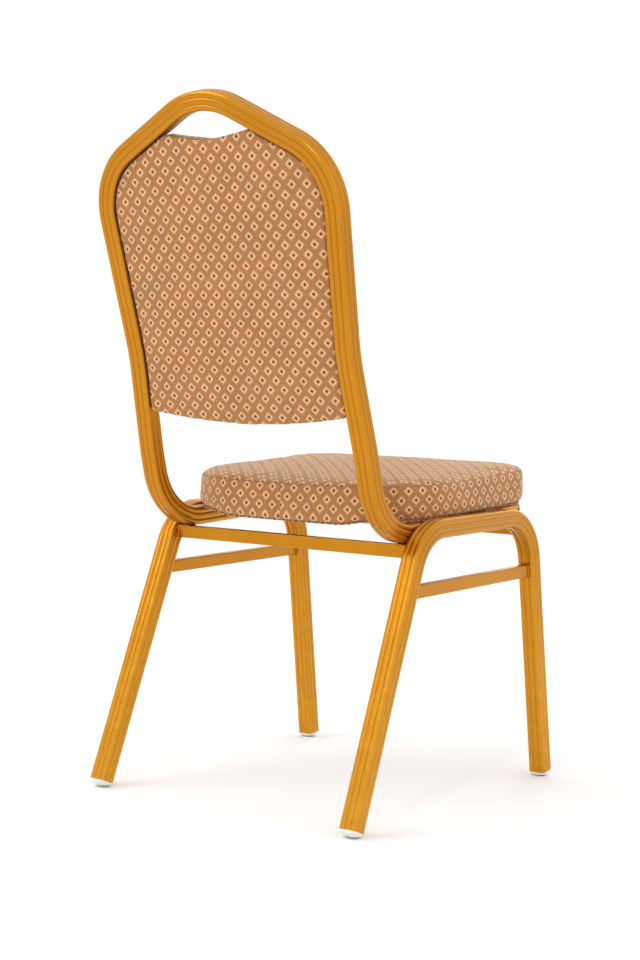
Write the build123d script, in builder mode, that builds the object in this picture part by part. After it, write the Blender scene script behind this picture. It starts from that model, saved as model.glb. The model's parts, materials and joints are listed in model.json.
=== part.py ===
"""Stacking banquet chair: a welded frame of ribbed square tube with an upholstered seat and back.

Millimetres. +Z is up, -Y is the front of the chair and +X is the sitter's left. The origin is on the
floor, at the middle of the chair's bounding box. Depths in the block below are measured from the seat
datum, a line across the seat, and ORIGIN_Y moves them to the origin.
"""
from build123d import *
from math import atan, cos, radians, sin, sqrt, tan
import os

os.makedirs("parts", exist_ok=True)

ORIGIN_Y = 48.816          # the origin lies this far behind the seat datum

# ---- frame tube: a rounded square with two lengthwise grooves in each face
TUBE = 25.4
TUBE_CORNER = 5.0
BORE = 21.8
BORE_CORNER = 3.6
GROOVE_R = 3.0
GROOVE_DEPTH = 0.6
GROOVE_AT = 4.2          # each groove's centre line, from the middle of the face
GROOVE_EDGE_R = 0.6

# ---- leg frames: inverted U, splayed a little outwards
LEG_SPLAY = 0.6          # degrees
FOOT_X = 207.3           # leg axis at the floor
LEG_BEND_R = 70.0
REAR_FOOT_Y = 258.3 - ORIGIN_Y
REAR_CORNER = (112.1 - ORIGIN_Y, 372.7)
FRONT_CORNER = (-168.9 - ORIGIN_Y, 380.0)
FRONT_FOOT_Y = -230.0 - ORIGIN_Y

# ---- glides: domed plugs in the open tube ends
GLIDE_R = 24.0           # radius of the dome
GLIDE_CAP = 7.5          # cap height below the tube's end
GLIDE_FLAT_DEPTH = 0.3   # the dome's lowest part is worn to a flat this deep
GLIDE_STEM = 18.0
FIT_GAP = 0.25           # clearance around a plug in its bore
CAP_SHORT = 0.4          # a plug's cap is this much narrower than the tube

# ---- back frame: forward runs under the seat, a bend, then the back loop in one leaning plane
RUN_X = 177.6            # axis of each run and of the loop's lower ends
RUN_Y = 100.0 - ORIGIN_Y
RUN_Z = 367.2            # height of the run's axis at RUN_Y
RUN_FRONT_Y = -170.0 - ORIGIN_Y
SEAT_TILT = 3.5          # degrees, front up; the runs and the seat share it
BACK_SLOPE = 0.28        # backward lean of the loop's plane, per unit of height
BACK_Y = 197.5 - ORIGIN_Y
BACK_Z = 450.0           # the loop's plane passes through (BACK_Y, BACK_Z)
LOWER_BEND_R = 89.0
JOIN_H = -15.0           # where run and loop meet; heights H run up the leaning plane from BACK_Z
FOOT_OF_LOOP = (RUN_X, 12.0)
WAIST = (169.4, 146.4)
SHOULDER = (184.7, 387.5)
APEX_H = 486.0
FOOT_OF_LOOP_R = 380.0
WAIST_R = 368.0
SHOULDER_R = 92.4
APEX_R = 100.6

# ---- crossbars and side stretchers: plain rectangular tube
BAR_HIGH = 17.5
BAR_DEEP = 12.0
BAR_WALL = 1.2
BAR_CORNER = 1.6
BAR_BORE_CORNER = 0.4
WELD_GAP = 0.05          # parts that are welded meet this close
REAR_BAR_Y = 119.0 - ORIGIN_Y
REAR_BAR_Z = 345.0
FRONT_BAR_Y = -156.0 - ORIGIN_Y
STRETCHER_REAR_Z = 293.7
STRETCHER_RISE = 8.0     # the stretcher's front end is this much higher

# ---- seat, in a plane tilted like the runs; U across, V back, W up from the board's underside
HEM = 0.9                # fabric turned under the board
SEAT_LIFT = 1.2          # board underside above the runs
BOARD_THICK = 12.0
BOARD_HALF = 188.0
BOARD_REAR = 132.0
BOARD_FRONT = -200.0
BOARD_REAR_R = 105.0
BOARD_FRONT_R = 47.0
FOAM_WRAP = 14.0         # foam stands this far out from the board's edge
FOAM_TOP = 54.0
FOAM_EDGE_R = 15.0
FABRIC = 1.0
HEM_WIDTH = 26.0
SLACK = 0.2              # gap between layers that only touch
TAB_V = (-112.0, 62.0)   # seat tabs, front and rear
TAB_LONG = 34.0
TAB_REACH = 30.0
TAB_THICK = 4.0
TAB_CORNER_R = 3.0       # corners of the seat tabs and of the back's ears
SEAT_HOLE_R = 3.5
SCREW_R = 3.0

# ---- back upholstery; layers are measured forward of the loop's plane, so the rear is negative
PANEL_GAP = 1.4          # between the panel's edge and the tube
PANEL_BOTTOM_H = 56.0
PANEL_BOTTOM_R = 930.0
PANEL_LOW_CORNER_R = 8.0
NOTCH_HALF = 68.0
NOTCH_TOP_H = 435.0
NOTCH_H = 423.0
NOTCH_R = 12.0
BACK_BOARD = (2.5, 11.5)
BACK_FOAM_FRONT = 37.5
BACK_FOAM_EDGE_R = 14.0
EAR = (-1.6, 1.4)
REAR_BOARD = (-4.9, -1.9)
REAR_PADDING = (-6.7, -5.0)
REAR_FACE = -7.8
REAR_EDGE_R = 1.5
EAR_H = (100.0, 330.0)
EAR_LONG = 26.0
EAR_REACH = 30.0
EAR_SPARE = 4.0          # the blank is this much longer, and is trimmed to the tube
EAR_HOLE_R = 2.4
EAR_HEAD_R = 4.5
EAR_SCREW_LONG = 11.5
CLIP_R = 8.0
CLIP_STEM_R = 3.8
CLIP_SPOTS = ((-90, 110), (90, 110), (0, 210), (-95, 300), (95, 300), (0, 385))

# ---- small hardware
PLUG_CAP = 2.0
PLUG_STEM = 14.0
WASHER_R = 8.0
WASHER_THICK = 1.5
HEAD_R = 5.75
HEAD_HIGH = 3.8
HEX_SOCKET = 4.0
SCREW_CLEAR = 0.1
T_NUT_FLANGE_R = 9.5
T_NUT_FLANGE = 1.2
T_NUT_BARREL_R = 3.9
T_NUT_BARREL = 9.0
STAPLE = (10.0, 1.2, 0.5)
STAPLE_PITCH = 24.0
DUST_COVER = 0.6
DUST_LAP = 4.0           # how far the dust cover laps onto the hem
DUST_CLEAR = 4.0         # between the dust cover and the tabs
DUST_CORNER_R = 20.0
STAPLE_INSET = 3.0       # seat staples, from the board's edge
FRONT_STAPLES = 5        # staples each side of the middle one, along each straight hem
REAR_STAPLES = 3
BOTTOM_STAPLES = 4
SIDE_STAPLES = 11        # staples up each side of the back board, less those that an ear covers
SIDE_STAPLE_START = 28.8

# ---- worked-out places
TILT = radians(SEAT_TILT)
SPLAY = radians(LEG_SPLAY)
LEAN = atan(BACK_SLOPE)
SEAT_PLANE = Plane(
    origin=(0, RUN_Y, RUN_Z + TUBE / 2 / cos(TILT) + SEAT_LIFT),
    x_dir=(1, 0, 0),
    z_dir=(0, sin(TILT), cos(TILT)),
)
SEAT_V = 100.0           # V of the seat plane's origin, which lies over RUN_Y
BACK_PLANE = Plane(origin=(0, BACK_Y, BACK_Z), x_dir=(1, 0, 0), z_dir=(0, -cos(LEAN), sin(LEAN)))
# The run's line and the loop's plane cross here, at the lower bend's corner.
CORNER_Z = (RUN_Z + (RUN_Y - BACK_Y + BACK_SLOPE * BACK_Z) * tan(TILT)) / (1 + BACK_SLOPE * tan(TILT))
CORNER_Y = BACK_Y + BACK_SLOPE * (CORNER_Z - BACK_Z)
SIDES = (("left", 1), ("right", -1))


def run_height(y):
    """Height of the run's axis at a depth y."""
    return RUN_Z + (RUN_Y - y) * tan(TILT)


def along_leg(corner, foot_y, height):
    """Point of a leg's axis at a height, in its leg frame's own plane."""
    share = height / corner[1]
    return (foot_y + (corner[0] - foot_y) * share, height)


def leg_end(corner, foot_y):
    """Where the tube stops: the glide's cap fills the rest, down to the floor."""
    centre = along_leg(corner, foot_y, GLIDE_R - GLIDE_FLAT_DEPTH)
    rake = atan(abs(foot_y - corner[0]) / corner[1])
    return along_leg(corner, foot_y, centre[1] - (GLIDE_R - GLIDE_CAP) * cos(rake))


def leg_plane(side):
    """Plane of one leg frame: local x is depth, local y is height."""
    return Plane(
        origin=(side * FOOT_X, 0, 0),
        x_dir=(0, 1, 0),
        z_dir=(cos(SPLAY), 0, side * sin(SPLAY)),
    )


def start_plane(path):
    """Plane square to the start of a path, level across the chair."""
    return Plane(origin=path @ 0, x_dir=(1, 0, 0), z_dir=path % 0)


def leg_path(side):
    """Axis of one leg frame, from the rear foot over the rail to the front foot."""
    with BuildLine(leg_plane(side), mode=Mode.PRIVATE) as path:
        FilletPolyline(
            leg_end(REAR_CORNER, REAR_FOOT_Y),
            REAR_CORNER,
            FRONT_CORNER,
            leg_end(FRONT_CORNER, FRONT_FOOT_Y),
            radius=LEG_BEND_R,
        )
    return path.line


def run_path(side):
    """Axis of one forward run and its lower bend, up to the foot of the back loop."""
    join_y = BACK_Y + JOIN_H * sin(LEAN)
    join_z = BACK_Z + JOIN_H * cos(LEAN)
    with BuildLine(Plane.YZ.offset(side * RUN_X), mode=Mode.PRIVATE) as path:
        FilletPolyline(
            (RUN_FRONT_Y, run_height(RUN_FRONT_Y)),
            (CORNER_Y, CORNER_Z),
            (join_y, join_z),
            radius=LOWER_BEND_R,
        )
    return path.line


def loop_points():
    """Corners of the back loop, from its right foot over the crown to its left foot."""
    left = [(RUN_X, JOIN_H), FOOT_OF_LOOP, WAIST, SHOULDER]
    return [(-w, h) for w, h in left] + [(0, APEX_H)] + left[::-1]


LOOP_RADII = (FOOT_OF_LOOP_R, WAIST_R, SHOULDER_R, APEX_R, SHOULDER_R, WAIST_R, FOOT_OF_LOOP_R)


def loop_path():
    """Axis of the back loop, in its leaning plane."""
    with BuildLine(BACK_PLANE, mode=Mode.PRIVATE) as path:
        FilletPolyline(*loop_points(), radius=LOOP_RADII)
    return path.line


def finish(builder, name):
    """Label a finished piece and write it."""
    builder.part.label = name
    export_step(builder.part, f"parts/{name}.step")


LEG_PATHS = {side: leg_path(side) for _, side in SIDES}
RUN_PATHS = {side: run_path(side) for _, side in SIDES}
LOOP_PATH = loop_path()

# ---- tube sections
with BuildSketch() as ribbed:
    RectangleRounded(TUBE, TUBE, TUBE_CORNER)
    groove_centre = TUBE / 2 + GROOVE_R - GROOVE_DEPTH
    with PolarLocations(0, 4):
        with Locations((groove_centre, GROOVE_AT), (groove_centre, -GROOVE_AT)):
            Circle(GROOVE_R, mode=Mode.SUBTRACT)
    groove_edges = [
        v for v in ribbed.vertices() if min(abs(v.X), abs(v.Y)) < TUBE / 2 - TUBE_CORNER - 0.1
    ]
    fillet(groove_edges, GROOVE_EDGE_R)
with BuildSketch() as bore:
    RectangleRounded(BORE, BORE, BORE_CORNER)


def envelope(paths, gap):
    """Plain square tube along some paths, a little larger than the frame tube, to cut others clear."""
    with BuildPart(mode=Mode.PRIVATE) as shape:
        for path in paths:
            with BuildSketch(start_plane(path)):
                RectangleRounded(TUBE + 2 * gap, TUBE + 2 * gap, TUBE_CORNER)
            sweep(path=path)
    return shape.part


LEGS_TIGHT = envelope(LEG_PATHS.values(), WELD_GAP)
RUNS_TIGHT = envelope(RUN_PATHS.values(), WELD_GAP)
LOOP_TIGHT = envelope([LOOP_PATH], WELD_GAP)

# ---- frame
with BuildPart() as back_frame_tube:
    for path in (RUN_PATHS[1], RUN_PATHS[-1], LOOP_PATH):
        with BuildSketch(start_plane(path)):
            add(ribbed.sketch)
        sweep(path=path)
    for path in (RUN_PATHS[1], RUN_PATHS[-1], LOOP_PATH):
        with BuildSketch(start_plane(path)):
            add(bore.sketch)
        sweep(path=path, mode=Mode.SUBTRACT)
finish(back_frame_tube, "back_frame_tube")

for side_name, side in SIDES:
    with BuildPart() as leg_frame:
        with BuildSketch(start_plane(LEG_PATHS[side])):
            add(ribbed.sketch)
        sweep(path=LEG_PATHS[side])
        with BuildSketch(start_plane(LEG_PATHS[side])):
            add(bore.sketch)
        sweep(path=LEG_PATHS[side], mode=Mode.SUBTRACT)
    finish(leg_frame, f"leg_frame_{side_name}")

# The front crossbar lies under the runs, square to the floor, and touches them with its rear edge.
FRONT_BAR_TOP = run_height(FRONT_BAR_Y + BAR_DEEP / 2) - TUBE / 2 / cos(TILT) - WELD_GAP
BARS = (
    ("rear_crossbar", REAR_BAR_Y, REAR_BAR_Z),
    ("front_crossbar", FRONT_BAR_Y, FRONT_BAR_TOP - BAR_HIGH / 2),
)
for bar_name, bar_y, bar_z in BARS:
    with BuildPart() as crossbar:
        with BuildSketch(Plane.YZ):
            with Locations((bar_y, bar_z)):
                RectangleRounded(BAR_DEEP, BAR_HIGH, BAR_CORNER)
                RectangleRounded(BAR_DEEP - 2 * BAR_WALL, BAR_HIGH - 2 * BAR_WALL, BAR_BORE_CORNER,
                                 mode=Mode.SUBTRACT)
        extrude(amount=FOOT_X, both=True)
        add(LEGS_TIGHT, mode=Mode.SUBTRACT)
        middle_only = crossbar.solids().sort_by(lambda s: abs(s.center().X))[0]
        add(middle_only, mode=Mode.REPLACE)
    finish(crossbar, bar_name)

for side_name, side in SIDES:
    rear_y = along_leg(REAR_CORNER, REAR_FOOT_Y, STRETCHER_REAR_Z)[0]
    front_z = STRETCHER_REAR_Z + STRETCHER_RISE
    front_y = along_leg(FRONT_CORNER, FRONT_FOOT_Y, front_z)[0]
    with BuildLine(leg_plane(side), mode=Mode.PRIVATE) as axis:
        Line((rear_y, STRETCHER_REAR_Z), (front_y, front_z))
    with BuildPart() as stretcher:
        with BuildSketch(start_plane(axis.edge())):
            RectangleRounded(BAR_DEEP, BAR_HIGH, BAR_CORNER)
            RectangleRounded(BAR_DEEP - 2 * BAR_WALL, BAR_HIGH - 2 * BAR_WALL, BAR_BORE_CORNER,
                             mode=Mode.SUBTRACT)
        extrude(amount=axis.edge().length)
        add(LEGS_TIGHT, mode=Mode.SUBTRACT)
    finish(stretcher, f"side_stretcher_{side_name}")

LEG_ENDS = (("rear", REAR_CORNER, REAR_FOOT_Y), ("front", FRONT_CORNER, FRONT_FOOT_Y))
for side_name, side in SIDES:
    for end_name, corner, foot_y in LEG_ENDS:
        to_row = leg_plane(side).from_local_coords
        down = to_row(Vector(foot_y, 0)) - to_row(Vector(*corner))
        end = to_row(Vector(*leg_end(corner, foot_y)))
        end_plane = Plane(origin=end, x_dir=(1, 0, 0), z_dir=down)
        with BuildPart(end_plane) as glide:
            with BuildSketch(end_plane):
                RectangleRounded(TUBE - CAP_SHORT, TUBE - CAP_SHORT, TUBE_CORNER)
            extrude(amount=GLIDE_CAP)
            with Locations((0, 0, GLIDE_CAP - GLIDE_R)):
                Sphere(GLIDE_R, mode=Mode.INTERSECT)
            with BuildSketch(end_plane):
                RectangleRounded(BORE - 2 * FIT_GAP, BORE - 2 * FIT_GAP, BORE_CORNER)
            extrude(amount=-GLIDE_STEM)
            split(bisect_by=Plane.XY, keep=Keep.TOP)
        finish(glide, f"foot_glide_{end_name}_{side_name}")

with BuildPart() as run_end_plugs:
    for side in (1, -1):
        plug_plane = start_plane(RUN_PATHS[side])
        with BuildSketch(plug_plane):
            RectangleRounded(TUBE - CAP_SHORT, TUBE - CAP_SHORT, TUBE_CORNER)
        extrude(amount=-PLUG_CAP)
        with BuildSketch(plug_plane):
            RectangleRounded(BORE - 2 * FIT_GAP, BORE - 2 * FIT_GAP, BORE_CORNER)
        extrude(amount=PLUG_STEM)
finish(run_end_plugs, "run_end_plugs")

# ---- tabs welded to the frame, for the seat and the back board
SEAT_TAB_SPOTS = [(side * (RUN_X - TUBE / 2 - TAB_REACH / 2), v - SEAT_V) for side in (1, -1) for v in TAB_V]
with BuildPart() as seat_mounting_tabs:
    with BuildSketch(SEAT_PLANE.offset(-SEAT_LIFT - TAB_THICK)):
        with Locations(*SEAT_TAB_SPOTS):
            RectangleRounded(TAB_REACH, TAB_LONG, TAB_CORNER_R)
            Circle(SEAT_HOLE_R, mode=Mode.SUBTRACT)
    extrude(amount=TAB_THICK)
    add(RUNS_TIGHT, mode=Mode.SUBTRACT)
finish(seat_mounting_tabs, "seat_mounting_tabs")


def loop_half_width(height):
    """Half width of the back loop's axis at a height, between its foot and its shoulder."""
    low, high = (FOOT_OF_LOOP, WAIST) if height < WAIST[1] else (WAIST, SHOULDER)
    share = (height - low[1]) / (high[1] - low[1])
    return low[0] + (high[0] - low[0]) * share


EAR_SPOTS = [
    (side * (loop_half_width(h) - TUBE / 2 - EAR_REACH / 2), h) for side in (1, -1) for h in EAR_H
]
EAR_THICK = EAR[1] - EAR[0]
with BuildPart() as back_mounting_ears:
    with BuildSketch(BACK_PLANE.offset(EAR[0])):
        with Locations(*EAR_SPOTS):
            RectangleRounded(EAR_REACH + EAR_SPARE, EAR_LONG, TAB_CORNER_R)
            Circle(EAR_HOLE_R, mode=Mode.SUBTRACT)
    extrude(amount=EAR_THICK)
    add(LOOP_TIGHT, mode=Mode.SUBTRACT)
    with BuildSketch(BACK_PLANE.offset(EAR[0])):
        with Locations(*EAR_SPOTS):
            Circle(EAR_HEAD_R)
    extrude(amount=EAR_HEAD_R - EAR_HOLE_R, taper=45, mode=Mode.SUBTRACT)
finish(back_mounting_ears, "back_mounting_ears")


# ---- seat
def seat_outline(grow):
    """Plan of the seat, this far out from the board's edge: wide rear corners, tighter front ones."""
    half = BOARD_HALF + grow
    rear = BOARD_REAR + grow - SEAT_V
    front = BOARD_FRONT - grow - SEAT_V
    rear_r = BOARD_REAR_R + grow
    front_r = BOARD_FRONT_R + grow
    with BuildSketch(mode=Mode.PRIVATE) as outline:
        with BuildLine():
            FilletPolyline((half, rear), (-half, rear), (-half, front), (half, front),
                           radius=(rear_r, rear_r, front_r, front_r), close=True)
        make_face()
    return outline.sketch


def seat_slab(low, high, grow, edge_r=0.0, frame_gap=0.0):
    """Slab of the seat's plan between two heights over the board's underside.

    The top edge is rounded by edge_r, and the frame's tubes are pressed into it with frame_gap to spare.
    """
    with BuildPart(mode=Mode.PRIVATE) as slab:
        with BuildSketch(SEAT_PLANE.offset(low)):
            add(seat_outline(grow))
        extrude(amount=high - low)
        if edge_r:
            top = slab.faces().sort_by(Axis(SEAT_PLANE.origin, SEAT_PLANE.z_dir))[-1]
            fillet(top.edges(), edge_r)
        if frame_gap:
            add(envelope(LEG_PATHS.values(), frame_gap), mode=Mode.SUBTRACT)
            add(envelope(RUN_PATHS.values(), frame_gap), mode=Mode.SUBTRACT)
    return slab.part


with BuildPart() as seat_board:
    add(seat_slab(0, BOARD_THICK, 0))
    with BuildSketch(SEAT_PLANE):
        with Locations(*SEAT_TAB_SPOTS):
            Circle(T_NUT_BARREL_R + SCREW_CLEAR)
    extrude(amount=BOARD_THICK, mode=Mode.SUBTRACT)
finish(seat_board, "seat_board")

with BuildPart() as seat_t_nuts:
    with BuildSketch(SEAT_PLANE.offset(BOARD_THICK)):
        with Locations(*SEAT_TAB_SPOTS):
            Circle(T_NUT_FLANGE_R)
    extrude(amount=T_NUT_FLANGE)
    with BuildSketch(SEAT_PLANE.offset(BOARD_THICK - T_NUT_BARREL)):
        with Locations(*SEAT_TAB_SPOTS):
            Circle(T_NUT_BARREL_R)
    extrude(amount=T_NUT_BARREL)
    with BuildSketch(SEAT_PLANE):
        with Locations(*SEAT_TAB_SPOTS):
            Circle(SCREW_R + SCREW_CLEAR)
    extrude(amount=BOARD_THICK + T_NUT_FLANGE, mode=Mode.SUBTRACT)
finish(seat_t_nuts, "seat_t_nuts")

TAB_UNDERSIDE = -SEAT_LIFT - TAB_THICK
with BuildPart() as seat_washers:
    with BuildSketch(SEAT_PLANE.offset(TAB_UNDERSIDE - WASHER_THICK)):
        with Locations(*SEAT_TAB_SPOTS):
            Circle(WASHER_R)
            Circle(SCREW_R + 2 * SCREW_CLEAR, mode=Mode.SUBTRACT)
    extrude(amount=WASHER_THICK)
finish(seat_washers, "seat_washers")

with BuildPart() as seat_screws:
    with BuildSketch(SEAT_PLANE.offset(TAB_UNDERSIDE - WASHER_THICK - HEAD_HIGH)):
        with Locations(*SEAT_TAB_SPOTS):
            Circle(HEAD_R)
    extrude(amount=HEAD_HIGH)
    lower_rims = seat_screws.edges().group_by(Axis(SEAT_PLANE.origin, SEAT_PLANE.z_dir))[0]
    fillet(lower_rims, HEAD_HIGH / 2)
    with BuildSketch(SEAT_PLANE.offset(TAB_UNDERSIDE - WASHER_THICK)):
        with Locations(*SEAT_TAB_SPOTS):
            Circle(SCREW_R)
    extrude(amount=WASHER_THICK - TAB_UNDERSIDE + BOARD_THICK - SLACK)
    with BuildSketch(SEAT_PLANE.offset(TAB_UNDERSIDE - WASHER_THICK - HEAD_HIGH)):
        with Locations(*SEAT_TAB_SPOTS):
            RegularPolygon(HEX_SOCKET / 2, 6, major_radius=False)
    extrude(amount=HEAD_HIGH / 2, mode=Mode.SUBTRACT)
finish(seat_screws, "seat_screws")

with BuildPart() as seat_foam:
    add(seat_slab(SLACK, FOAM_TOP, FOAM_WRAP, FOAM_EDGE_R, frame_gap=2 * SLACK + FABRIC))
    add(seat_slab(-SEAT_LIFT, BOARD_THICK + SLACK, SLACK), mode=Mode.SUBTRACT)
    with BuildSketch(SEAT_PLANE.offset(BOARD_THICK)):
        with Locations(*SEAT_TAB_SPOTS):
            Circle(T_NUT_FLANGE_R + SLACK)
    extrude(amount=T_NUT_FLANGE + SLACK, mode=Mode.SUBTRACT)
finish(seat_foam, "seat_foam")

with BuildPart() as seat_cover:
    add(seat_slab(-HEM - SLACK / 2, FOAM_TOP + SLACK + FABRIC, FOAM_WRAP + SLACK + FABRIC,
                  FOAM_EDGE_R + SLACK + FABRIC, frame_gap=SLACK))
    add(seat_slab(-SLACK / 2, FOAM_TOP + SLACK, FOAM_WRAP + SLACK,
                  FOAM_EDGE_R + SLACK, frame_gap=SLACK + FABRIC), mode=Mode.SUBTRACT)
    add(seat_slab(-SEAT_LIFT, SLACK, FOAM_WRAP - HEM_WIDTH), mode=Mode.SUBTRACT)
    add(seat_slab(0, BOARD_THICK, SLACK), mode=Mode.SUBTRACT)
    shell_only = seat_cover.solids().sort_by(SortBy.VOLUME)[-1]
    add(shell_only, mode=Mode.REPLACE)
finish(seat_cover, "seat_cover")

DUST_FRONT = BOARD_FRONT + HEM_WIDTH - FOAM_WRAP - DUST_LAP - SEAT_V
DUST_REAR = BOARD_REAR - HEM_WIDTH + FOAM_WRAP + DUST_LAP - SEAT_V
DUST_HALF = RUN_X - TUBE / 2 - TAB_REACH - DUST_CLEAR
with BuildPart() as seat_dust_cover:
    with BuildSketch(SEAT_PLANE.offset(-HEM - SLACK - DUST_COVER)):
        with Locations((0, (DUST_FRONT + DUST_REAR) / 2)):
            RectangleRounded(2 * DUST_HALF, DUST_REAR - DUST_FRONT, DUST_CORNER_R)
    extrude(amount=DUST_COVER)
finish(seat_dust_cover, "seat_dust_cover")



def staple_row(each_side, height):
    """Staple places along a level row, with this many each side of the middle one."""
    return [(n * STAPLE_PITCH, height) for n in range(-each_side, each_side + 1)]


SEAT_STAPLES = staple_row(FRONT_STAPLES, BOARD_FRONT + STAPLE_INSET - SEAT_V)
SEAT_STAPLES += staple_row(REAR_STAPLES, BOARD_REAR - STAPLE_INSET - SEAT_V)
with BuildPart() as seat_staples:
    with BuildSketch(SEAT_PLANE.offset(-HEM - SLACK / 2 - STAPLE[2])):
        with Locations(*SEAT_STAPLES):
            Rectangle(STAPLE[0], STAPLE[1])
    extrude(amount=STAPLE[2])
finish(seat_staples, "seat_staples")


# ---- back
def panel_outline(shrink):
    """Outline of the back panel: it follows the loop's inside, with a hand-hold notch at the top."""
    notch_rise = (NOTCH_TOP_H - NOTCH_H) / NOTCH_HALF * RUN_X
    low_side = PANEL_BOTTOM_H + PANEL_BOTTOM_R - sqrt(PANEL_BOTTOM_R**2 - RUN_X**2) + shrink
    with BuildSketch(mode=Mode.PRIVATE) as outline:
        with BuildLine():
            FilletPolyline(*loop_points(), radius=LOOP_RADII)
            Line((RUN_X, JOIN_H), (-RUN_X, JOIN_H))
        make_face()
        offset(amount=-(TUBE / 2 + PANEL_GAP + shrink))
        with BuildLine():
            ThreePointArc((-RUN_X, low_side), (0, PANEL_BOTTOM_H + shrink), (RUN_X, low_side))
            Polyline((RUN_X, low_side), (RUN_X, NOTCH_H + notch_rise - shrink), (0, NOTCH_H - shrink),
                     (-RUN_X, NOTCH_H + notch_rise - shrink), (-RUN_X, low_side))
        make_face(mode=Mode.INTERSECT)
        fillet(outline.vertices().sort_by(Axis.Y)[:2], PANEL_LOW_CORNER_R)
        notch = outline.vertices().sort_by_distance((0, NOTCH_H - shrink))[0]
        fillet(notch, NOTCH_R)
    return outline.sketch


def panel_slab(rear, front, shrink, front_r=0.0, rear_r=0.0):
    """Slab of the back panel between two distances forward of the loop's plane."""
    with BuildPart(mode=Mode.PRIVATE) as slab:
        with BuildSketch(BACK_PLANE.offset(rear)):
            add(panel_outline(shrink))
        extrude(amount=front - rear)
        ends = slab.faces().sort_by(Axis(BACK_PLANE.origin, BACK_PLANE.z_dir))
        if front_r:
            fillet(ends[-1].edges(), front_r)
        if rear_r:
            fillet(ends[0].edges(), rear_r)
    return slab.part


with BuildPart() as back_board:
    add(panel_slab(*BACK_BOARD, FABRIC + SLACK))
    with BuildSketch(BACK_PLANE.offset(BACK_BOARD[0])):
        with Locations(*CLIP_SPOTS):
            Circle(CLIP_STEM_R + SLACK)
        with Locations(*EAR_SPOTS):
            Circle(EAR_HOLE_R)
    extrude(amount=BACK_BOARD[1] - BACK_BOARD[0], mode=Mode.SUBTRACT)
finish(back_board, "back_board")

with BuildPart() as back_ear_screws:
    with BuildSketch(BACK_PLANE.offset(EAR[0])):
        with Locations(*EAR_SPOTS):
            Circle(EAR_HEAD_R - SCREW_CLEAR)
    extrude(amount=EAR_HEAD_R - EAR_HOLE_R, taper=45)
    with BuildSketch(BACK_PLANE.offset(EAR[0])):
        with Locations(*EAR_SPOTS):
            Circle(EAR_HOLE_R - SCREW_CLEAR)
    extrude(amount=EAR_SCREW_LONG)
finish(back_ear_screws, "back_ear_screws")

with BuildPart() as back_foam:
    add(panel_slab(BACK_BOARD[1] + SLACK, BACK_FOAM_FRONT, FABRIC + SLACK, front_r=BACK_FOAM_EDGE_R))
finish(back_foam, "back_foam")

HEM_REAR = BACK_BOARD[0] - SLACK / 2 - HEM
with BuildPart() as back_front_cover:
    add(panel_slab(HEM_REAR, BACK_FOAM_FRONT + SLACK + FABRIC, 0,
                   front_r=BACK_FOAM_EDGE_R + SLACK + FABRIC))
    add(panel_slab(BACK_BOARD[0] - SLACK / 2, BACK_FOAM_FRONT + SLACK, FABRIC,
                   front_r=BACK_FOAM_EDGE_R + SLACK), mode=Mode.SUBTRACT)
    add(panel_slab(HEM_REAR, BACK_BOARD[0], HEM_WIDTH), mode=Mode.SUBTRACT)
    with BuildSketch(BACK_PLANE.offset(HEM_REAR)):
        with Locations(*EAR_SPOTS):
            Circle(EAR_HOLE_R)
    extrude(amount=HEM, mode=Mode.SUBTRACT)
finish(back_front_cover, "back_front_cover")

BACK_STAPLES = []
for side in (1, -1):
    for n in range(SIDE_STAPLES):
        height = PANEL_BOTTOM_H + SIDE_STAPLE_START + n * STAPLE_PITCH
        if min(abs(height - h) for h in EAR_H) > EAR_LONG / 2 + STAPLE[0]:
            BACK_STAPLES.append((side * (loop_half_width(height) - TUBE / 2 - HEM_WIDTH / 2), height))
with BuildPart() as back_staples:
    with BuildSketch(BACK_PLANE.offset(HEM_REAR - STAPLE[2])):
        with Locations(*BACK_STAPLES):
            Rectangle(STAPLE[1], STAPLE[0])
        with Locations(*staple_row(BOTTOM_STAPLES, PANEL_BOTTOM_H + HEM_WIDTH / 2)):
            Rectangle(STAPLE[0], STAPLE[1])
    extrude(amount=STAPLE[2])
finish(back_staples, "back_staples")

with BuildPart() as rear_panel_board:
    add(panel_slab(*REAR_BOARD, FABRIC + SLACK))
finish(rear_panel_board, "rear_panel_board")

with BuildPart() as rear_panel_padding:
    add(panel_slab(*REAR_PADDING, FABRIC + SLACK))
finish(rear_panel_padding, "rear_panel_padding")

with BuildPart() as rear_panel_cover:
    add(panel_slab(REAR_FACE, REAR_BOARD[1], 0, rear_r=REAR_EDGE_R))
    add(panel_slab(REAR_FACE + FABRIC, REAR_BOARD[1], FABRIC), mode=Mode.SUBTRACT)
finish(rear_panel_cover, "rear_panel_cover")

CLIP_REAR = REAR_BOARD[1] + SLACK / 2
with BuildPart() as rear_panel_clips:
    with BuildSketch(BACK_PLANE.offset(CLIP_REAR)):
        with Locations(*CLIP_SPOTS):
            Circle(CLIP_R)
    extrude(amount=BACK_BOARD[0] - SLACK / 2 - CLIP_REAR)
    with BuildSketch(BACK_PLANE.offset(BACK_BOARD[0] - SLACK)):
        with Locations(*CLIP_SPOTS):
            Circle(CLIP_STEM_R)
    extrude(amount=BACK_BOARD[1] - BACK_BOARD[0])
finish(rear_panel_clips, "rear_panel_clips")
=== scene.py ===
"""Looks of the stacking banquet chair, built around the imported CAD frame. Metres throughout.

The row frame is the CAD's: +Z up, -Y the front of the chair, +X the sitter's left.
"""

import json
from math import atan, cos, pi, radians, sin, sqrt, tan

import bmesh
import bpy
import numpy as np
from mathutils import Matrix, Vector, noise
from mathutils.kdtree import KDTree

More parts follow.
